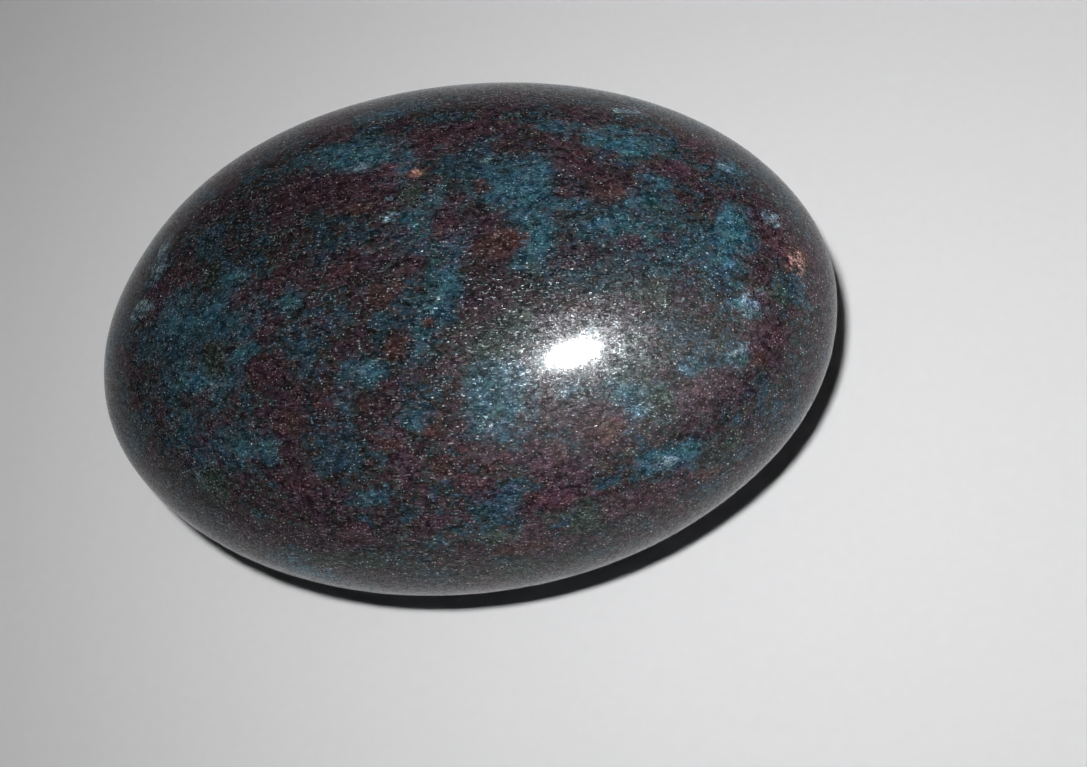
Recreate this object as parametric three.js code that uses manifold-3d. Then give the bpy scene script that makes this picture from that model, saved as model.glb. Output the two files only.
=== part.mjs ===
// A palm stone: one solid pebble of ruby-bearing kyanite rock, ground by hand to an ellipsoid and polished.
// Millimetres, +Z up. The stone lies on its broad side, +X runs along it, and the origin is in the
// middle of the small flat foot that it rests on.

import * as THREE from "three";
import { mergeVertices } from "three/addons/utils/BufferGeometryUtils.js";
import Module from "manifold-3d";

// Size of the ellipsoid that the stone was ground to
const LENGTH = 68;
const WIDTH = 48;
const THICKNESS = 34;

// How much of the underside the flat foot takes away
const FOOT_DEPTH = 0.5;

// Where hand grinding left the surface proud of the ellipsoid (+) or short of it (-).
// towards: from the middle, as shares of the half length, half width and half thickness.
// rise: in mm. spread: how far it reaches, as a share of the half sizes.
const GRINDING = [
  { towards: [-0.9, -0.4, 0.18], rise: 0.22, spread: 0.26 },
  { towards: [-0.88, 0.24, 0.41], rise: -0.25, spread: 0.26 },
  { towards: [-0.5, 0.7, 0.52], rise: 0.14, spread: 0.34 },
  { towards: [0.15, 0.88, 0.45], rise: -0.1, spread: 0.32 },
  { towards: [0.97, 0.22, 0.03], rise: 0.14, spread: 0.22 },
  { towards: [0.71, -0.66, -0.25], rise: -0.13, spread: 0.26 },
  { towards: [0.3, -0.2, 0.93], rise: -0.12, spread: 0.4 },
  { towards: [-0.45, 0.5, -0.74], rise: 0.15, spread: 0.4 },
];

// How many times each edge of an icosahedron is split for the faces of the solid
const EDGE_SPLITS = 15;

const wasm = await Module();
wasm.setup();

// A closed three.js geometry as a solid that can be cut
function toSolid(geometry) {
  const bare = geometry.clone().deleteAttribute("normal").deleteAttribute("uv");
  const merged = mergeVertices(bare, 1e-4);
  return new wasm.Manifold(
    new wasm.Mesh({
      numProp: 3,
      vertProperties: merged.attributes.position.array,
      triVerts: new Uint32Array(merged.index.array),
    }),
  );
}

// A cut solid as a three.js geometry
function toGeometry(solid) {
  const mesh = solid.getMesh();
  const geometry = new THREE.BufferGeometry();
  geometry.setAttribute("position", new THREE.BufferAttribute(mesh.vertProperties, 3));
  geometry.setIndex(new THREE.BufferAttribute(mesh.triVerts, 1));
  return geometry;
}

// How far the ground surface stands off the ellipsoid, for a point of the unit sphere
function groundRise(point) {
  let rise = 0;
  for (const spot of GRINDING) {
    const away = point.distanceTo(new THREE.Vector3(...spot.towards).normalize()) / spot.spread;
    rise += spot.rise * Math.exp(-away * away);
  }
  return rise;
}

// The whole pebble round its own middle, before the foot is ground
function pebble() {
  const geometry = new THREE.IcosahedronGeometry(1, EDGE_SPLITS);
  const half = new THREE.Vector3(LENGTH, WIDTH, THICKNESS).multiplyScalar(0.5);
  const position = geometry.attributes.position;
  const point = new THREE.Vector3();
  for (let i = 0; i < position.count; i++) {
    point.fromBufferAttribute(position, i).normalize();
    const outward = point.clone().divide(half).normalize();
    const rise = groundRise(point);
    point.multiply(half).addScaledVector(outward, rise);
    position.setXYZ(i, point.x, point.y, point.z);
  }
  return geometry;
}

// The pebble with its foot ground flat at z = 0, its length and width centred on the origin
function stoneGeometry() {
  const whole = pebble().translate(0, 0, THICKNESS / 2 - FOOT_DEPTH);
  const grindstone = new THREE.BoxGeometry(LENGTH, WIDTH, THICKNESS).translate(0, 0, -THICKNESS / 2);
  const geometry = toGeometry(toSolid(whole).subtract(toSolid(grindstone)));
  geometry.computeBoundingBox();
  const middle = geometry.boundingBox.getCenter(new THREE.Vector3());
  geometry.translate(-middle.x, -middle.y, 0);
  geometry.computeVertexNormals();
  return geometry;
}

const polishedRock = new THREE.MeshStandardMaterial({
  name: "polished_rock",
  color: 0x3b4048,
  roughness: 0.22,
  metalness: 0,
});

const stone = new THREE.Mesh(stoneGeometry(), polishedRock);
stone.name = "stone";

const palmStone = new THREE.Group();
palmStone.add(stone);

export default palmStone;
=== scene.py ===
import math

import bpy
import numpy as np
from mathutils import Matrix, Quaternion, Vector


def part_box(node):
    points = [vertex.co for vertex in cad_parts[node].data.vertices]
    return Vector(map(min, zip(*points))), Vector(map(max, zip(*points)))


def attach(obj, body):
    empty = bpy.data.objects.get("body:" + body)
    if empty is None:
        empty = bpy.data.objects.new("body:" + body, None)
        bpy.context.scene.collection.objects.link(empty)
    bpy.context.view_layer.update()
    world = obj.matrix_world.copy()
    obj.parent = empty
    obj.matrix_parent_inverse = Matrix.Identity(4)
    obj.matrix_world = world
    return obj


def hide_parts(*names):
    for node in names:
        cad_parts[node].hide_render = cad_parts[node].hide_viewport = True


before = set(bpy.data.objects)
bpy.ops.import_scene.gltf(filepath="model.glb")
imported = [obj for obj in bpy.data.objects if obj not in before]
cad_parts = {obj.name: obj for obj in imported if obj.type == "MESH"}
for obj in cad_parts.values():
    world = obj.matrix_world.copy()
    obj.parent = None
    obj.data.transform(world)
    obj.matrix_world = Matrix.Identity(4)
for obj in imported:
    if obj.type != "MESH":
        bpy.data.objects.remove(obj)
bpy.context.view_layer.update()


# The pebble
# One piece of dark, fine-grained rock with kyanite and ruby in it. It was sawn from a block, ground by
# hand on a wheel to an ellipsoid, given a small flat foot, and tumbled until it shone.

MM = 0.001
LENGTH = 68 * MM
WIDTH = 48 * MM
THICKNESS = 34 * MM
FOOT_DEPTH = 0.5 * MM
FOOT_EDGE = 0.1 * MM  # how far polishing has rounded the edge of the foot
SPLITS = 7  # 81,920 triangles

# Where grinding left the surface proud of the ellipsoid or short of it: the way there from the middle,
# as shares of the half sizes, the rise in mm, and the reach as a share of the half sizes
GRINDING = [
    ((-0.9, -0.4, 0.18), 0.22, 0.26),
    ((-0.88, 0.24, 0.41), -0.25, 0.26),
    ((-0.5, 0.7, 0.52), 0.14, 0.34),
    ((0.15, 0.88, 0.45), -0.1, 0.32),
    ((0.97, 0.22, 0.03), 0.14, 0.22),
    ((0.71, -0.66, -0.25), -0.13, 0.26),
    ((0.3, -0.2, 0.93), -0.12, 0.4),
    ((-0.45, 0.5, -0.74), 0.15, 0.4),
]


class Wire:
    """A socket of a node tree. Arithmetic on it adds Math nodes, and node() adds any other node."""

    def __init__(self, tree, socket=None):
        self.tree = tree
        self.socket = socket

    def node(self, kind, settings=None, inputs=None, output=0):
        """Adds a node, sets it, fills its sockets, and gives the wire of one of its live outputs."""
        node = self.tree.nodes.new(kind)
        for name, value in (settings or {}).items():
            setattr(node, name, value)
        live = [socket for socket in node.inputs if socket.enabled]
        by_name = {socket.name: socket for socket in reversed(live)}
        for key, value in (inputs or {}).items():
            socket = by_name[key] if isinstance(key, str) else live[key]
            if isinstance(value, Wire):
                self.tree.links.new(value.socket, socket)
            else:
                socket.default_value = value
        outputs = [socket for socket in node.outputs if socket.enabled]
        found = [socket for socket in outputs if socket.name == output]
        return Wire(self.tree, found[0] if found else outputs[output])

    def math(self, operation, *values):
        return self.node("ShaderNodeMath", {"operation": operation}, dict(enumerate(values)))

    def vector(self, operation, *values, output=0):
        return self.node("ShaderNodeVectorMath", {"operation": operation}, dict(enumerate(values)), output)

    def __add__(self, other):
        return self.math("ADD", self, other)

    def __radd__(self, other):
        return self.math("ADD", other, self)

    def __sub__(self, other):
        return self.math("SUBTRACT", self, other)

    def __rsub__(self, other):
        return self.math("SUBTRACT", other, self)

    def __mul__(self, other):
        return self.math("MULTIPLY", self, other)

    def __rmul__(self, other):
        return self.math("MULTIPLY", other, self)

    def __truediv__(self, other):
        return self.math("DIVIDE", self, other)

    def __pow__(self, other):
        return self.math("POWER", self, other)

    def __neg__(self):
        return self.math("MULTIPLY", self, -1.0)


def pebble_tree(material):
    """The node tree that grinds a ball of rock to the pebble."""
    tree = bpy.data.node_groups.new("ground_pebble", "GeometryNodeTree")
    interface = tree.interface
    interface.new_socket("Geometry", in_out="OUTPUT", socket_type="NodeSocketGeometry")
    for name in ("Length", "Width", "Thickness", "Foot depth", "Foot edge"):
        interface.new_socket(name, in_out="INPUT", socket_type="NodeSocketFloat")
    interface.new_socket("Splits", in_out="INPUT", socket_type="NodeSocketInt")
    wire = Wire(tree)
    given = tree.nodes.new("NodeGroupInput")
    size = {socket.name: Wire(tree, socket) for socket in given.outputs if socket.name}

    ball = wire.node("GeometryNodeMeshIcoSphere", None, {"Radius": 1.0, "Subdivisions": size["Splits"]})
    way = wire.node("GeometryNodeInputPosition")
    rise = 0.0
    for towards, height, reach in GRINDING:
        spot = Vector(towards).normalized()
        away = wire.vector("DISTANCE", way, spot, output="Value") / reach
        rise = rise + height * MM * wire.math("EXPONENT", -(away * away))
    halves = {"X": size["Length"] / 2, "Y": size["Width"] / 2, "Z": size["Thickness"] / 2}
    half = wire.node("ShaderNodeCombineXYZ", None, halves)
    outward = wire.vector("NORMALIZE", wire.vector("DIVIDE", way, half))
    lift = wire.node("ShaderNodeCombineXYZ", None, {0: rise, 1: rise, 2: rise})
    ground = wire.vector("MULTIPLY_ADD", outward, lift, wire.vector("MULTIPLY", way, half))
    parts = [wire.node("ShaderNodeSeparateXYZ", None, {0: ground}, axis) for axis in "XYZ"]
    height = parts[2] + size["Thickness"] / 2 - size["Foot depth"]
    footed = wire.math("SMOOTH_MAX", height, 0.0, size["Foot edge"])
    place = wire.node("ShaderNodeCombineXYZ", None, {0: parts[0], 1: parts[1], 2: footed})
    moved = wire.node("GeometryNodeSetPosition", None, {"Geometry": ball, "Position": place})
    smooth = wire.node("GeometryNodeSetShadeSmooth", None, {0: moved})
    real = wire.node("GeometryNodeRealizeInstances", None, {0: smooth})
    dressed = wire.node("GeometryNodeSetMaterial", None, {"Geometry": real, "Material": material})
    out = tree.nodes.new("NodeGroupOutput")
    tree.links.new(dressed.socket, out.inputs[0])
    return tree


def ground_pebble(name, material):
    """The pebble as a plain mesh, set where the frame has it."""
    piece = bpy.data.objects.new(name, bpy.data.meshes.new(name))
    bpy.context.scene.collection.objects.link(piece)
    modifier = piece.modifiers.new("grinding", "NODES")
    modifier.node_group = pebble_tree(material)
    sizes = {
        "Length": LENGTH,
        "Width": WIDTH,
        "Thickness": THICKNESS,
        "Foot depth": FOOT_DEPTH,
        "Foot edge": FOOT_EDGE,
        "Splits": SPLITS,
    }
    for item in modifier.node_group.interface.items_tree:
        if item.in_out == "INPUT":
            modifier[item.identifier] = sizes[item.name]
    ready = piece.evaluated_get(bpy.context.evaluated_depsgraph_get())
    mesh = bpy.data.meshes.new_from_object(ready)
    piece.modifiers.clear()
    piece.data = mesh
    mesh.name = name
    points = points_of(mesh)
    low, high = (np.array(corner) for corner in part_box("stone"))
    shift = (low + high) / 2 - (points.min(0) + points.max(0)) / 2
    shift[2] = low[2] - points[:, 2].min()
    mesh.vertices.foreach_set("co", (points + shift).ravel())
    mesh.update()
    return piece


def points_of(mesh):
    """The places of a mesh's vertices, one row each."""
    points = np.empty(len(mesh.vertices) * 3)
    mesh.vertices.foreach_get("co", points)
    return points.reshape(-1, 3)


# Where each mineral is gathered on the upper side: x, y, half length and half width in mm, the turn of
# the long way from +X in degrees, and the share of the grains there that are this mineral. The last two
# kinds aren't minerals: there the whole rock is paler or darker.
PATCHES = {
    "kyanite": [
        (-4, 9.2, 5.6, 1.9, -10, 0.8),
        (1, 6, 1.6, 1.4, -40, 0.6),
        (11.2, 4.6, 3.6, 2.4, 20, 1.0),
        (12.2, -0.3, 1.6, 2.8, 0, 1.0),
        (5.4, -3.8, 1.7, 4.2, -5, 0.7),
        (3.2, 1.6, 1.2, 2.6, -10, 0.6),
        (18.5, 9.6, 4.4, 2.0, -8, 0.6),
        (18.4, 1.0, 2.6, 1.2, 0, 0.8),
        (15, 2.6, 1.5, 0.8, 0, 0.8),
        (20, 3.6, 3.0, 1.5, 0, 0.5),
        (21, 5.3, 1.5, 0.8, 0, 0.6),
        (26.4, 8.8, 1.3, 1.0, 0, 0.9),
        (27.3, 2.0, 1.6, 2.2, 0, 1.0),
        (26.8, -0.8, 1.2, 1.2, 0, 0.6),
        (-15, -5.0, 4.6, 2.3, 5, 0.75),
        (-20.3, -3.6, 2.4, 1.9, 15, 0.65),
        (-16.4, -9.4, 3.8, 1.7, 0, 0.7),
        (-12.2, -8.4, 1.8, 0.8, 20, 0.8),
        (-14, -1.7, 1.4, 1.0, 20, 0.7),
        (-8, -4.8, 1.5, 0.9, 30, 0.7),
        (-1, -11.0, 1.9, 1.3, 0, 0.8),
        (3.6, -9.4, 1.1, 1.6, 0, 0.7),
        (0.7, -6.7, 0.9, 0.7, 0, 0.6),
        (9.9, -13.3, 2.3, 2.7, 0, 1.0),
        (3.2, -14.4, 1.3, 1.0, 0, 0.7),
        (-2.8, -12.9, 0.9, 1.6, 0, 0.7),
        (-12, -15.2, 2.6, 1.8, -20, 0.6),
        (-2.3, -19.6, 1.8, 0.8, 0, 0.6),
        (19.8, -12.7, 3.0, 1.7, -10, 0.7),
        (21.9, -15.8, 2.7, 0.9, 12, 0.9),
        (27.0, -8.7, 1.4, 0.8, 15, 0.9),
        (28.2, -4.7, 1.5, 0.9, 0, 0.8),
        (24.2, -9.8, 1.3, 0.7, 0, 0.7),
        (-4.2, 14.6, 2.6, 0.9, 0, 0.5),
        (12.6, 11.3, 1.3, 0.8, 0, 0.6),
        (20.5, -2.5, 2.6, 1.3, 0, 0.5),
        (15.2, -12.3, 1.2, 1.0, 0, 0.5),
        (2.6, -22.4, 1.3, 0.7, 0, 0.5),
        (19, -1, 9.0, 3.8, 0, 0.35),
        (4, 1.5, 3.5, 4.0, 0, 0.35),
        (-17, -14, 4.5, 3.5, 0, 0.3),
    ],
    "ruby": [
        (4.3, 10.3, 5.4, 2.1, 0, 0.8),
        (-4, 5.3, 5.2, 2.0, 5, 0.8),
        (-9.5, 5.0, 3.0, 2.4, 20, 0.6),
        (-7.6, 13.0, 2.6, 0.9, 0, 0.6),
        (5.4, 1.4, 1.1, 2.4, -10, 0.9),
        (9.0, 14.3, 1.6, 0.9, 0, 0.6),
        (13.0, 14.0, 1.8, 0.8, 0, 0.7),
        (16.0, 5.6, 2.7, 2.8, 0, 0.7),
        (12.8, 9.2, 1.4, 0.7, 0, 0.5),
        (24.2, 10.4, 2.6, 1.2, -15, 0.7),
        (22.6, 7.0, 1.4, 1.0, 0, 0.7),
        (24.6, 5.6, 2.2, 0.8, -5, 0.7),
        (28.6, 5.7, 2.0, 0.9, 0, 0.7),
        (30.4, 1.6, 1.8, 1.6, 0, 0.9),
        (29.1, -1.7, 1.0, 0.7, 0, 0.7),
        (19.7, -0.8, 0.9, 0.8, 0, 0.8),
        (16.2, -2.0, 2.2, 1.3, 0, 0.6),
        (9.0, -6.7, 1.3, 0.9, 0, 0.6),
        (-21.6, 0.6, 1.4, 1.0, 0, 0.7),
        (-19.4, 2.2, 1.0, 0.9, 0, 0.7),
        (-8.3, -2.6, 3.6, 1.3, 15, 0.8),
        (-12.8, -3.6, 1.3, 1.0, 0, 0.6),
        (-2.8, -2.0, 2.0, 1.3, 20, 0.8),
        (-10.0, -10.3, 2.4, 1.3, 0, 0.8),
        (-10.0, -7.2, 1.0, 0.7, 0, 0.6),
        (-5.0, -7.0, 1.8, 0.8, 0, 0.5),
        (-26.0, -6.0, 1.5, 1.5, 0, 0.7),
        (0.8, -12.9, 3.0, 0.9, 40, 0.9),
        (4.3, -11.3, 1.3, 0.7, 0, 0.6),
        (-5.0, -13.0, 1.6, 0.8, 0, 0.7),
        (-8.0, -17.9, 2.0, 1.3, 0, 0.7),
        (-3.2, -21.8, 2.1, 1.3, 0, 0.9),
        (6.4, -13.3, 0.9, 1.4, 0, 0.6),
        (1.0, -15.9, 1.8, 0.8, 0, 0.7),
        (7.9, -18.9, 1.8, 1.1, 0, 0.7),
        (12.2, -19.6, 2.4, 1.0, -5, 0.9),
        (17.2, -14.3, 1.9, 2.2, 0, 0.9),
        (10.4, -17.0, 1.1, 0.9, 0, 0.8),
        (26.2, -11.0, 2.7, 1.7, 0, 0.9),
        (19.6, -18.6, 4.6, 1.4, 6, 0.8),
        (29.3, -6.8, 1.9, 1.2, 0, 0.8),
        (27.8, -13.0, 1.4, 1.2, 0, 0.7),
        (3.0, -2.6, 1.0, 0.7, 0, 0.5),
        (3.0, -21.2, 1.4, 0.9, 0, 0.5),
        (-5, -13, 4.5, 3.0, 0, 0.35),
        (10, -17, 8.0, 3.5, 0, 0.35),
    ],
    "rust": [
        (1.7, -9.0, 1.3, 1.1, 0, 1.0),
        (0.7, -5.1, 1.6, 1.2, 0, 0.9),
        (10.0, -1.1, 1.9, 1.3, 30, 1.0),
        (18.0, 4.2, 1.2, 1.2, 0, 0.9),
        (1.9, 6.1, 0.7, 0.5, 0, 1.0),
        (7.8, 4.1, 0.7, 0.5, 0, 0.9),
        (-2.8, 3.0, 1.4, 0.6, 0, 0.6),
        (19.5, 14.5, 1.5, 0.5, -10, 0.9),
        (-8.1, -14.2, 1.0, 0.8, 0, 0.9),
        (-7.3, -9.8, 0.7, 0.5, 0, 0.7),
        (0.8, -16.2, 0.9, 0.6, 0, 0.6),
        (4.6, -15.4, 0.8, 0.6, 0, 0.8),
        (4.9, -17.6, 1.0, 0.7, 0, 0.7),
        (9.6, -22.2, 1.9, 0.6, 0, 0.8),
        (16.0, -6.2, 0.9, 0.5, 0, 0.9),
        (14.0, -3.0, 0.4, 0.4, 0, 1.0),
        (17.9, -14.9, 0.8, 1.0, 0, 0.8),
        (24.0, -16.4, 1.3, 0.9, 0, 0.7),
        (4.4, -7.5, 0.5, 0.4, 0, 0.9),
        (22.6, -19.2, 1.6, 0.6, 30, 0.7),
        (29.0, -8.1, 1.0, 0.6, 0, 0.7),
        (7.5, 4.8, 0.5, 0.4, 0, 0.9),
        (32.0, 1.4, 1.2, 0.9, 0, 0.8),
    ],
    "mica": [
        (-15.3, -8.3, 0.9, 1.4, 0, 1.0),
        (-16.5, -1.0, 1.0, 1.0, 0, 0.8),
        (2.0, 4.0, 0.8, 1.5, 0, 0.8),
        (-17.0, -17.2, 2.6, 1.6, 0, 0.9),
        (9.7, -9.4, 2.2, 1.3, 0, 0.8),
        (22.0, -5.0, 1.0, 1.3, 0, 0.8),
        (30.4, -3.0, 1.0, 0.8, 0, 0.8),
        (7.8, -21.8, 1.8, 0.7, 0, 0.9),
        (15.0, -20.2, 1.2, 1.5, 0, 0.9),
        (20.3, -9.5, 2.4, 1.4, 0, 0.6),
        (-4.0, -23.0, 5.0, 1.0, 0, 0.7),
        (8.0, -23.4, 6.0, 1.0, 0, 0.8),
        (25.6, -14.4, 1.5, 1.2, 0, 0.6),
        (11.2, -7.4, 1.6, 1.0, 30, 0.8),
        (21.6, -4.9, 1.0, 1.3, 0, 0.8),
        (20.2, -10.6, 2.0, 1.0, 0, 0.7),
        (21.4, -12.6, 1.6, 1.3, 0, 0.8),
    ],
    "feldspar": [
        (31.6, 0.5, 1.1, 0.8, 50, 0.42),
        (2.0, 6.2, 0.5, 0.4, 0, 0.6),
    ],
    "fibre": [
        (-25.0, -1.6, 1.5, 0.8, 0, 0.8),
        (-23.5, 3.0, 0.8, 2.2, 0, 0.6),
        (0.5, 1.9, 0.6, 0.35, 20, 1.0),
        (0.3, 3.7, 0.25, 0.25, 0, 1.0),
        (-15.3, -10.8, 0.25, 0.7, -15, 1.0),
        (7.8, 7.2, 0.4, 0.3, 0, 0.9),
        (11.2, 5.1, 0.35, 0.3, 0, 0.8),
        (28.4, -4.0, 1.2, 0.7, 60, 0.6),
        (29.8, 4.0, 0.8, 0.7, 0, 0.7),
        (26.6, 8.4, 1.0, 0.3, 0, 0.7),
        (27.4, -8.0, 0.9, 0.3, 30, 0.9),
        (20.0, -13.2, 0.8, 0.6, 0, 0.7),
        (21.4, -16.3, 1.0, 0.35, 0, 0.9),
        (17.8, 14.3, 1.2, 0.7, 20, 0.7),
        (-18.0, -16.4, 0.4, 1.0, 0, 0.7),
        (-3.6, 7.6, 0.9, 0.4, 0, 0.6),
    ],
    "pale": [
        (10, -18.5, 12.0, 5.5, 0, 0.85),
        (20, -13, 8.0, 5.0, 0, 0.25),
        (30, -1, 5.0, 5.5, 0, 0.6),
        (21, 10, 8.0, 4.0, 0, 0.6),
        (0.5, 6.5, 2.0, 1.5, 0, 0.4),
        (-6, -18, 8.0, 4.0, 0, 0.3),
    ],
    "dark": [
        (-11, 3.0, 8.0, 5.0, 0, 0.6),
        (14, -3.5, 8.0, 2.5, 10, 0.3),
        (-14, -6, 6.0, 4.0, 0, 0.35),
    ],
}
PATCH_EDGE = (0.3, 1.7)  # a patch fades out between these shares of its half sizes

# The same kinds of patch on the sides that none of those above reaches, with how often each kind comes
HIDDEN_TRIES = 150
HIDDEN_SEED = 7
HIDDEN_BELOW = 0.15  # as a share of the half thickness, from the middle up
HIDDEN_SHARES = {
    "kyanite": 0.32,
    "ruby": 0.32,
    "rust": 0.12,
    "mica": 0.1,
    "feldspar": 0.02,
    "fibre": 0.04,
    "pale": 0.04,
    "dark": 0.04,
}
WIDE_KINDS = ("kyanite", "ruby", "pale", "dark")
WIDE_HALF = (1.0, 4.0)  # half length in mm
SMALL_HALF = (0.5, 1.6)
SLENDER = (0.4, 0.9)  # half width as a share of the half length
HIDDEN_TURN = (-0.7, 0.7)  # from +X, in radians
HIDDEN_GRAINS = (0.6, 1.0)

HALF_MM = np.array([LENGTH, WIDTH, THICKNESS]) / 2 / MM
RIM = 0.995  # a place beyond this share of the plan is drawn in to it


def on_upper_side(x, y):
    """Where a place of the plan, in mm, lies on the upper side, on a ball of radius 1."""
    plan = np.array([x, y]) / HALF_MM[:2]
    plan = plan / max(1.0, np.linalg.norm(plan) / RIM)
    return np.array([*plan, math.sqrt(1 - plan @ plan)])


def patch_reach(points, unit, size, turn):
    """How far each point is from a patch's middle, as a share of the patch's half sizes."""
    middle = unit * HALF_MM
    out = unit / HALF_MM
    out /= np.linalg.norm(out)
    along = np.array([math.cos(turn), math.sin(turn), 0.0])
    along -= (along @ out) * out
    along /= np.linalg.norm(along)
    across = np.cross(out, along)
    away = points - middle
    shares = (away @ along / size[0], away @ across / size[1], away @ out / max(size))
    return np.sqrt(shares[0] ** 2 + shares[1] ** 2 + shares[2] ** 2)


def gather(mesh):
    """Stores on each vertex how much of each kind of patch is there, from 0 to 1."""
    points = points_of(mesh) / MM - np.array([0, 0, (THICKNESS / 2 - FOOT_DEPTH) / MM])
    shares = {name: np.zeros(len(points)) for name in PATCHES}

    def add(name, unit, size, turn, share):
        inner, outer = PATCH_EDGE
        near = np.clip((outer - patch_reach(points, unit, size, turn)) / (outer - inner), 0, 1)
        shares[name] = np.maximum(shares[name], share * near * near * (3 - 2 * near))

    for name, patches in PATCHES.items():
        for x, y, long, wide, turn, share in patches:
            add(name, on_upper_side(x, y), (long, wide), math.radians(turn), share)

    draw = np.random.RandomState(HIDDEN_SEED)
    for _ in range(HIDDEN_TRIES):
        unit = draw.normal(size=3)
        unit /= np.linalg.norm(unit)
        name = draw.choice(list(HIDDEN_SHARES), p=list(HIDDEN_SHARES.values()))
        long = draw.uniform(*(WIDE_HALF if name in WIDE_KINDS else SMALL_HALF))
        wide = long * draw.uniform(*SLENDER)
        turn = draw.uniform(*HIDDEN_TURN)
        share = draw.uniform(*HIDDEN_GRAINS)
        if unit[2] < HIDDEN_BELOW:
            add(name, unit, (long, wide), turn, share)

    for name, share in shares.items():
        layer = mesh.attributes.new(name, "FLOAT", "POINT")
        layer.data.foreach_set("value", share.astype(np.float32))


# Linear colours of the ground mass, of the pale needles and points, and of the brightest flakes. The points
# and flakes are partly painted glints.
PLUM = (0.021, 0.012, 0.017)
SLATE = (0.011, 0.023, 0.033)
CHARCOAL = (0.016, 0.014, 0.012)
NEEDLE = (0.44, 0.49, 0.51)
FLAKE_AND_SPARKLE = (0.8, 0.85, 0.86)

# Each mineral's darkest and lightest grains, which of three random fields thins it out, and how much
# its edge breaks up into single crystals
MINERAL_COLOURS = {
    "kyanite": ((0.003, 0.0143, 0.0215), (0.028, 0.0755, 0.0995), "a", 0.3),
    "ruby": ((0.0075, 0.0035, 0.005), (0.043, 0.020, 0.027), "b", 0.3),
    "mica": ((0.004, 0.007, 0.006), (0.030, 0.041, 0.033), "c", 0.5),
    "rust": ((0.013, 0.006, 0.006), (0.049, 0.023, 0.020), "a", 0.3),
    "feldspar": ((0.06, 0.03, 0.024), (0.32, 0.175, 0.14), "c", 2.4),
    "fibre": ((0.012, 0.025, 0.035), (0.12, 0.17, 0.20), "b", 1.6),
}

# The soft random fields: features a millimetre, how many finer levels each has, and how strong those are
CLOUDS = (0.22, 4.0, 0.5)
RAGGED_EDGES = (0.5, 4.0, 0.65)
TINTS = (0.8, 3.0, 0.5)
BLOTCHES = (1.6, 4.0, 0.65)
FINE_GRAINS = (5.5, 3.0, 0.75)
FELT = (9.0, 1.0, 0.5)
RELIEF = (11.0, 2.0, 0.7)

# The fields of cells: how many a millimetre
CRYSTALS = 3.6
DUST = 9.0
POINTS = 5.0
FLAKES = 2.4

# How the layering slopes about X and Y, in radians, and how each field lies in it: degrees from +X, and
# its width as a share of its length
DIP = (0.3, 0.2)
BLOTCHES_LIE = (25, 0.7)
FINE_GRAINS_LIE = (-15, 0.8)
CRYSTALS_LIE = (32, 0.6)
CRYSTAL_BEND = (0.5, 0.5, 0.5)  # how far the crystals' sides are bent, in mm
RELIEF_LIES = (20, 0.7)
FELT_LIES = ((30, 0.25), (-25, 0.25), (85, 0.25))

# How much each field adds to how light a grain is, counted from the field's middle of 0.5, and the
# darkest and lightest grains of the ground mass, as shares of their colour
MIDDLE_LIGHT = 0.45
BLOTCH_LIGHT = 1.65
FINE_LIGHT = 0.9
CRYSTAL_LIGHT = 0.4
SPECK_LIGHT = 0.3
LIGHT_ENDS = (0.1, 0.9)
DARKEST = 0.3
LIGHTEST = 1.7

# Where the ground mass turns from one kind of grain to the next
PLUM_TO_CHARCOAL = (0.36, 0.52)
CHARCOAL_TO_SLATE = (0.48, 0.64)
CLOUD_SHARE = 1.2
CRYSTAL_SHARE = 0.08

# How far the random fields push the edge of a patch, and the sums at which it starts and is full
EDGE_FRAY = 2.4
VEIN_FRAY = 1.4
FRAY_ENDS = (-0.1, 1.05)
SHARE_ENDS = (0.0, 0.3)

# How the felt and the dust lighten the grains, how the whole rock gets lighter towards +X (partly its own
# tone and partly painted light and shade by nearness to the lamp), and how much the tints and the pale and
# dark patches change it
STRAND_ENDS = (0.48, 0.75)
GRAIN_LEAST = 0.88
FELT_GAIN = 0.2
KYANITE_FELT_GAIN = 0.4
DUST_GAIN = 0.25
FINER_GAIN = 0.2
BROAD_LEAST = 0.65
DRIFT_GAIN = 0.5
TONE_AND_LIGHT_PER_MM = 0.006
PALE_GAIN = 0.8
DARK_LOSS = 0.6
TINT_SPREAD = (0.8, 0.4, 0.8)
TINT_LEAST = (0.6, 0.8, 0.6)

# Points, needles and flakes: where each ends, as a distance from its middle in cells, how rare the
# bright ones are, as a power of a random number, and how they lighten the colour
# The points lighten the colour partly as pale grains and partly as painted glints
POINT_ENDS = (0.1, 0.45)
POINT_RARITY = 6.0
POINT_AND_GLINT_SHARE = 1.1
POINT_AND_GLINT_GAIN = 8.0
NEEDLE_ENDS = (0.1, 0.5)
NEEDLE_RARITY = 4.0
NEEDLE_SHARE = 0.2
NEEDLE_GAIN = 1.5
FIBRE_CHANCE = 0.4  # how many more needles there are where they bunch up
FIBRE_SHARE = 0.5
FLAKE_ENDS = (0.05, 0.13)
FLAKE_CHANCE = (0.5, 0.53)
FLAKE_RARITY = 3.0

# Three sets of needles: degrees from +X, how many a millimetre across, how rare they are, and a
# needle's width as a share of its length
NEEDLES = ((30, 7.0, 0.62, 0.25), (-20, 7.5, 0.66, 0.25), (80, 8.0, 0.7, 0.3))
RARE_STEP = 0.02

# How grains and needles lean: the spread and the middle of the random fields, and how far it tips them
LEAN_SPREAD = (0.7, 0.7, 0.7)
LEAN_MIDDLE = (-0.38, -0.35, -0.35)
NEEDLE_MIDDLE = (0.53, 0.5)
LEAN = (0.9, 0.9, 0.9)

# The rock itself is matt. Over it lies the polish, which the fine fields make thinner in places.
ROCK_ROUGHNESS = 0.5
ROCK_DIFFUSE_ROUGHNESS = 0.4
POLISH_ROUGHNESS = 0.13
POLISH_IOR = 1.45
LEAST_POLISH = 0.35  # between the grains, where the polish is thinnest
FINE_POLISH = 0.6
FINER_POLISH = 0.4
DUST_POLISH = 0.35
POLISH_ENDS = (0.3, 0.66)

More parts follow.
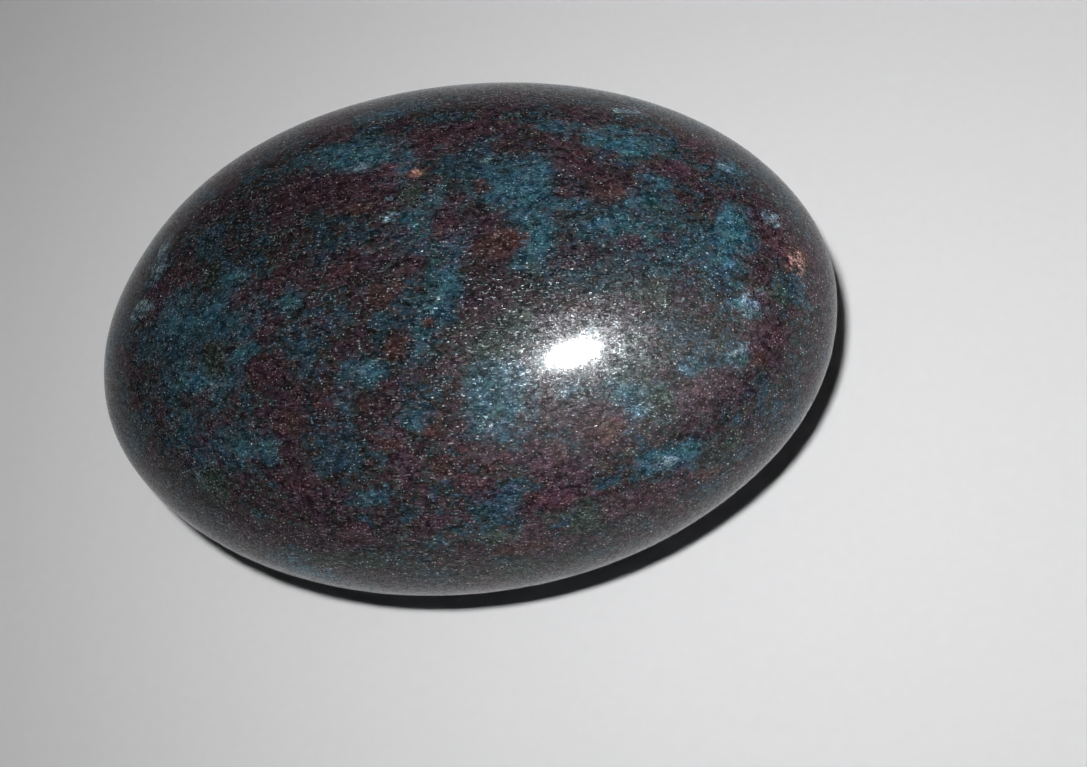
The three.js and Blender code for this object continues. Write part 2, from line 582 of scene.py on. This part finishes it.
# The shine of single grains: its colour, its roughness on a plain grain, and what a speck or a needle
# adds, and how much of the light it takes
GLOSS = (0.76, 0.84, 0.88, 1)
GLOSS_ROUGHNESS = 0.16
SPECK_ROUGHNESS = 0.2
NEEDLE_ROUGHNESS = 0.08
GLOSS_LEAST = 0.003
DUST_GLOSS = 0.055
NEEDLE_GLOSS = 0.012


def polished_rock():
    """Dark rock of interlocked grains under a hand polish."""
    material = bpy.data.materials.new("polished_rock")
    material.use_nodes = True
    tree = material.node_tree
    tree.nodes.clear()
    wire = Wire(tree)

    def parted(colour):
        """The three numbers of a colour."""
        return [wire.node("ShaderNodeSeparateColor", None, {0: colour}, part) for part in (0, 1, 2)]

    def noise(place, scale, detail, rough):
        """A soft random vector field, and its three numbers."""
        fields = {"Vector": place, "Scale": scale, "Detail": detail, "Roughness": rough}
        field = wire.node("ShaderNodeTexNoise", None, fields, "Color")
        return field, parted(field)

    def cells(place, scale):
        """Three random numbers for each cell, and how far its middle is."""
        lot = wire.node("ShaderNodeTexVoronoi", None, {"Vector": place, "Scale": scale}, "Color")
        return parted(lot), Wire(tree, lot.socket.node.outputs["Distance"])

    def step(value, low, high):
        """0 below low and 1 above high, with a soft slope between them."""
        ends = {"Value": value, "From Min": low, "From Max": high}
        return wire.node("ShaderNodeMapRange", {"interpolation_type": "SMOOTHSTEP"}, ends)

    def mix(factor, first, second):
        """The first colour where the factor is 0, and the second where it is 1."""
        first = first if isinstance(first, Wire) else (*first, 1)
        second = second if isinstance(second, Wire) else (*second, 1)
        return wire.node("ShaderNodeMix", {"data_type": "RGBA"}, {0: factor, "A": first, "B": second})

    def shade(colour, amount):
        """A colour made lighter or darker by a number."""
        amounts = wire.node("ShaderNodeCombineXYZ", None, {0: amount, 1: amount, 2: amount})
        return wire.vector("MULTIPLY", colour, amounts)

    def grown(name):
        """How much of a kind of patch is here."""
        return wire.node("ShaderNodeAttribute", {"attribute_name": name}, None, "Fac")

    def laid(degrees, stretch):
        """The stone's own millimetres, drawn out along one way of the layering."""
        rotation = (*DIP, math.radians(-degrees))
        turned = {"Vector": mm, "Rotation": rotation, "Scale": (stretch, 1.0, 1.0)}
        return wire.node("ShaderNodeMapping", None, turned)

    spot = wire.node("ShaderNodeTexCoord", None, None, "Object")
    mm = wire.vector("SCALE", spot, 1 / MM)
    _, (cloud, drift, _) = noise(mm, *CLOUDS)
    _, (edge_a, edge_b, edge_c) = noise(mm, *RAGGED_EDGES)
    tints, _ = noise(mm, *TINTS)
    _, (blotch, vein, smear) = noise(laid(*BLOTCHES_LIE), *BLOTCHES)
    warp, (fine, finer, _) = noise(laid(*FINE_GRAINS_LIE), *FINE_GRAINS)
    wavy = wire.vector("MULTIPLY_ADD", warp, CRYSTAL_BEND, laid(*CRYSTALS_LIE))
    (tone, pick, hue), _ = cells(wavy, CRYSTALS)
    (dust, speck, _), _ = cells(wavy, DUST)

    # The ground mass: charcoal, slate and plum grains
    light = (blotch - 0.5) * BLOTCH_LIGHT + (fine - 0.5) * FINE_LIGHT
    light = light + (tone - 0.5) * CRYSTAL_LIGHT + (speck - 0.5) * SPECK_LIGHT + MIDDLE_LIGHT
    kind = smear + (cloud - 0.5) * CLOUD_SHARE + (hue - 0.5) * CRYSTAL_SHARE
    rock = mix(step(kind, *PLUM_TO_CHARCOAL), PLUM, CHARCOAL)
    rock = mix(step(kind, *CHARCOAL_TO_SLATE), rock, SLATE)
    rock = shade(rock, DARKEST + step(light, 0.0, 1.0) * (LIGHTEST - DARKEST))

    # The minerals, whose grains thin out across a ragged edge
    colour = rock
    for name, (dark, bright, edge, ragged) in MINERAL_COLOURS.items():
        lot = {"a": edge_a, "b": edge_b, "c": edge_c}[edge]
        share = grown(name)
        here = share + (lot - 0.5) * EDGE_FRAY + (vein - 0.5) * VEIN_FRAY + (pick - 0.5) * ragged
        here = step(here, *FRAY_ENDS) * step(share, *SHARE_ENDS)
        colour = mix(here, colour, mix(step(light, *LIGHT_ENDS), dark, bright))

    # The grains are felted needles, darker between than along them, and the rock is paler in places
    felt = 0.0
    for lie in FELT_LIES:
        _, (strand, _, _) = noise(laid(*lie), *FELT)
        felt = wire.math("MAXIMUM", step(strand, *STRAND_ENDS), felt)
    along = wire.node("ShaderNodeSeparateXYZ", None, {0: mm}, "X")
    grainy = GRAIN_LEAST + felt * (FELT_GAIN + grown("kyanite") * KYANITE_FELT_GAIN)
    grainy = grainy + dust * DUST_GAIN + finer * FINER_GAIN
    # Lighter towards +X: partly the rock's own tone and partly painted light and shade by nearness to the
    # lamp
    broad = BROAD_LEAST + drift * DRIFT_GAIN + along * TONE_AND_LIGHT_PER_MM
    broad = broad * (1 + grown("pale") * PALE_GAIN - grown("dark") * DARK_LOSS)
    colour = shade(colour, broad * grainy)
    tint = wire.vector("MULTIPLY_ADD", tints, TINT_SPREAD, TINT_LEAST)
    colour = wire.vector("MULTIPLY", colour, tint)

    # Cleavage faces of single grains show as pale points of many strengths: partly pale grains and partly
    # painted glints of the faces
    (_, bright, _), near = cells(mm, POINTS)
    point_and_glint = (1 - step(near, *POINT_ENDS)) * bright ** POINT_RARITY * smear
    colour = mix(point_and_glint * POINT_AND_GLINT_SHARE, shade(colour, 1 + point_and_glint * POINT_AND_GLINT_GAIN), NEEDLE)

    # Pale needles lie more or less along the layering and bunch up in places. Each leans its own way.
    fibre = grown("fibre")
    shiny = 0.0
    relief, _ = noise(laid(*RELIEF_LIES), *RELIEF)
    lean = wire.vector("MULTIPLY_ADD", relief, LEAN_SPREAD, LEAN_MIDDLE)
    for degrees, scale, rare, stretch in NEEDLES:
        (chance, bright, side), near = cells(laid(degrees, stretch), scale)
        fleck = step(chance + fibre * FIBRE_CHANCE, rare, rare + RARE_STEP) * (1 - step(near, *NEEDLE_ENDS))
        shiny = wire.math("MAXIMUM", fleck, shiny)
        way = {0: bright - NEEDLE_MIDDLE[0], 1: side - NEEDLE_MIDDLE[1]}
        lean = mix(fleck, lean, wire.node("ShaderNodeCombineXYZ", None, way))
        colour = shade(colour, 1 + fleck * bright * NEEDLE_GAIN)
        colour = mix(fleck * bright ** NEEDLE_RARITY * (NEEDLE_SHARE + fibre * FIBRE_SHARE), colour, NEEDLE)

    # A few small flakes are almost white: partly pale flakes and partly painted sparkles where their faces
    # would glint
    (chance, bright, _), near = cells(mm, FLAKES)
    flake_and_sparkle = step(chance, *FLAKE_CHANCE) * (1 - step(near, *FLAKE_ENDS))
    colour = mix(flake_and_sparkle * bright ** FLAKE_RARITY, colour, FLAKE_AND_SPARKLE)

    # A smooth polish lies over everything, a little thinner between the grains
    level = step(fine * FINE_POLISH + finer * FINER_POLISH + (dust - 0.5) * DUST_POLISH, *POLISH_ENDS)
    finish = {
        "Base Color": colour,
        "Roughness": ROCK_ROUGHNESS,
        "Diffuse Roughness": ROCK_DIFFUSE_ROUGHNESS,
        "Specular IOR Level": 0.0,
        "Coat Weight": LEAST_POLISH + level * (1 - LEAST_POLISH),
        "Coat Roughness": POLISH_ROUGHNESS,
        "Coat IOR": POLISH_IOR,
    }
    polish = wire.node("ShaderNodeBsdfPrincipled", None, finish)

    # Below it each grain and needle shines by itself, where it happens to face the lamp
    facing = wire.node("ShaderNodeNewGeometry", None, None, "Normal")
    tilted = wire.vector("NORMALIZE", wire.vector("MULTIPLY_ADD", lean, LEAN, facing))
    roughness = GLOSS_ROUGHNESS + speck * SPECK_ROUGHNESS + shiny * NEEDLE_ROUGHNESS
    grain = {"Color": GLOSS, "Roughness": roughness, "Normal": tilted}
    gloss = wire.node("ShaderNodeBsdfAnisotropic", None, grain)
    share = GLOSS_LEAST + step(light, *LIGHT_ENDS) * dust * DUST_GLOSS + shiny * NEEDLE_GLOSS
    both = wire.node("ShaderNodeMixShader", None, {0: share, 1: polish, 2: gloss})
    out = tree.nodes.new("ShaderNodeOutputMaterial")
    tree.links.new(both.socket, out.inputs["Surface"])
    return material


stone = ground_pebble("palm_stone", polished_rock())
gather(stone.data)
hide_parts("stone")
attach(stone, "root")


# The floor
# A level surface, plain, pale and matt, and wide enough to fill the view from any side.

FLOOR_HALF = 2000 * MM
FLOOR_TONES = ((0.82, 0.82, 0.83, 1), (0.86, 0.86, 0.87, 1))
FLOOR_MOTTLE = 900.0  # features a metre
FLOOR_MOTTLE_DETAIL = 4.0
FLOOR_ROUGHNESS = 0.9
FLOOR_SPECULAR = 0.2


def matt_floor():
    """A matt surface with a faint fine mottle."""
    material = bpy.data.materials.new("matt_floor")
    material.use_nodes = True
    wire = Wire(material.node_tree)
    spot = wire.node("ShaderNodeTexCoord", None, None, "Object")
    fields = {"Vector": spot, "Scale": FLOOR_MOTTLE, "Detail": FLOOR_MOTTLE_DETAIL}
    mottle = wire.node("ShaderNodeTexNoise", None, fields)
    shader = material.node_tree.nodes["Principled BSDF"]
    tones = {0: mottle, "A": FLOOR_TONES[0], "B": FLOOR_TONES[1]}
    tone = wire.node("ShaderNodeMix", {"data_type": "RGBA"}, tones)
    material.node_tree.links.new(tone.socket, shader.inputs["Base Color"])
    shader.inputs["Roughness"].default_value = FLOOR_ROUGHNESS
    shader.inputs["Specular IOR Level"].default_value = FLOOR_SPECULAR
    return material


corners = [(FLOOR_HALF * x, FLOOR_HALF * y, 0) for x, y in ((-1, -1), (1, -1), (1, 1), (-1, 1))]
floor_mesh = bpy.data.meshes.new("floor")
floor_mesh.from_pydata(corners, [], [(0, 1, 2, 3)])
floor_mesh.materials.append(matt_floor())
floor = bpy.data.objects.new("floor", floor_mesh)
bpy.context.scene.collection.objects.link(floor)


# The light
# A small lamp above the near side throws the short dark shadow, one beside it makes only the glint, and
# the ceiling lifts the shade. A low lamp behind reaches only the stone, and four that face away from it
# light the floor farther out. One side of the room gleams in the polish.

# Places and sizes in mm, powers in watts, and how far a lamp is rolled and how wide it spreads in degrees
LAMPS = {
    "lamp": {"place": (40.4, -51.7, 150), "aim": (17, 161, 0), "size": (8, 8), "power": 0.285},
    "glint_lamp": {
        "place": (43.2, -33.0, 136),
        "aim": (0, 0, 16),
        "size": (20, 14),
        "power": 0.26,
        "roll": -28,
        "glint_only": True,
    },
    "ceiling": {"place": (0, 0, 1000), "aim": (0, 0, 0), "size": (800, 800), "power": 0.16},
    "low_lamp": {
        "place": (-84, 112, 14),
        "aim": (0, 0, 14),
        "size": (190, 16),
        "power": 0.015,
        "spread": 24,
        "stone_only": True,
    },
}

# The lamps for the floor farther out: where each hangs, as a step along X and Y, and its power
FLOOR_LAMPS = {"east": (1, 0, 0.8), "south": (0, -1, 0.8), "west": (-1, 0, 0.15), "north": (0, 1, 0.15)}
FLOOR_LAMP_PLACE = 250  # from the stone's middle, and above the floor
FLOOR_LAMP_AIM = 607
FLOOR_LAMP_SIZE = (300, 300)
for name, (x, y, power) in FLOOR_LAMPS.items():
    LAMPS[f"floor_lamp_{name}"] = {
        "place": (FLOOR_LAMP_PLACE * x, FLOOR_LAMP_PLACE * y, FLOOR_LAMP_PLACE),
        "aim": (FLOOR_LAMP_AIM * x, FLOOR_LAMP_AIM * y, 0),
        "size": FLOOR_LAMP_SIZE,
        "power": power,
    }

stone_only = bpy.data.collections.new("stone_only")
stone_only.objects.link(stone)
for name, says in LAMPS.items():
    data = bpy.data.lights.new(name, "AREA")
    data.shape = "ELLIPSE"
    data.size, data.size_y = (side * MM for side in says["size"])
    data.energy = says["power"]
    data.spread = math.radians(says.get("spread", 180))
    lamp = bpy.data.objects.new(name, data)
    lamp.location = Vector(says["place"]) * MM
    towards = Vector(says["aim"]) * MM - lamp.location
    roll = Quaternion((0, 0, 1), math.radians(says.get("roll", 0)))
    lamp.rotation_euler = (towards.to_track_quat("-Z", "Y") @ roll).to_euler()
    lamp.visible_camera = False
    lamp.visible_glossy = "glint_only" in says
    lamp.visible_diffuse = "glint_only" not in says
    if "stone_only" in says:
        lamp.light_linking.receiver_collection = stone_only
    bpy.context.scene.collection.objects.link(lamp)

GLEAM_WAY = (0.51, -0.36, 0.78)  # where the room is brightest
GLEAM_REACH = math.radians(50)
GLEAM = 1.3  # how bright it is there
ROOM = 0.02  # how bright the rest of the room is
ROOM_COLOUR = (0.98, 1.0, 1.0, 1)

room = bpy.data.worlds.new("room")
room.use_nodes = True
room.cycles_visibility.diffuse = False
wire = Wire(room.node_tree)
way = wire.node("ShaderNodeTexCoord", None, None, "Generated")
near = wire.vector("DOT_PRODUCT", way, GLEAM_WAY, output="Value")
reach = {"Value": near, "From Min": math.cos(GLEAM_REACH), "From Max": 1.0, "To Min": ROOM, "To Max": GLEAM}
gleam = wire.node("ShaderNodeMapRange", {"interpolation_type": "SMOOTHSTEP"}, reach)
background = room.node_tree.nodes["Background"]
room.node_tree.links.new(gleam.socket, background.inputs["Strength"])
background.inputs["Color"].default_value = ROOM_COLOUR
bpy.context.scene.world = room
bpy.context.scene.view_settings.view_transform = "Standard"


# The camera
# It looks down on the stone from close above its near side, a little to the right, and leans to one
# side. Its place is in mm, and its right and up are in the stone's own frame.

CAMERA_PLACE = Vector((46.54, -60.42, 129.07)) * MM
CAMERA_RIGHT = Vector((0.95552, 0.06719, -0.28716))
CAMERA_UP = Vector((0.06230, 0.90574, 0.41923))
LENS = 50.0
SENSOR = 36.0
NEAR_CLIP = 5 * MM

camera_data = bpy.data.cameras.new("camera")
camera_data.lens = LENS
camera_data.sensor_width = SENSOR
camera_data.clip_start = NEAR_CLIP
camera = bpy.data.objects.new("camera", camera_data)
back = CAMERA_RIGHT.cross(CAMERA_UP)
turn = Matrix((CAMERA_RIGHT, CAMERA_UP, back)).transposed()
camera.matrix_world = Matrix.Translation(CAMERA_PLACE) @ turn.to_4x4()
bpy.context.scene.collection.objects.link(camera)
bpy.context.scene.camera = camera
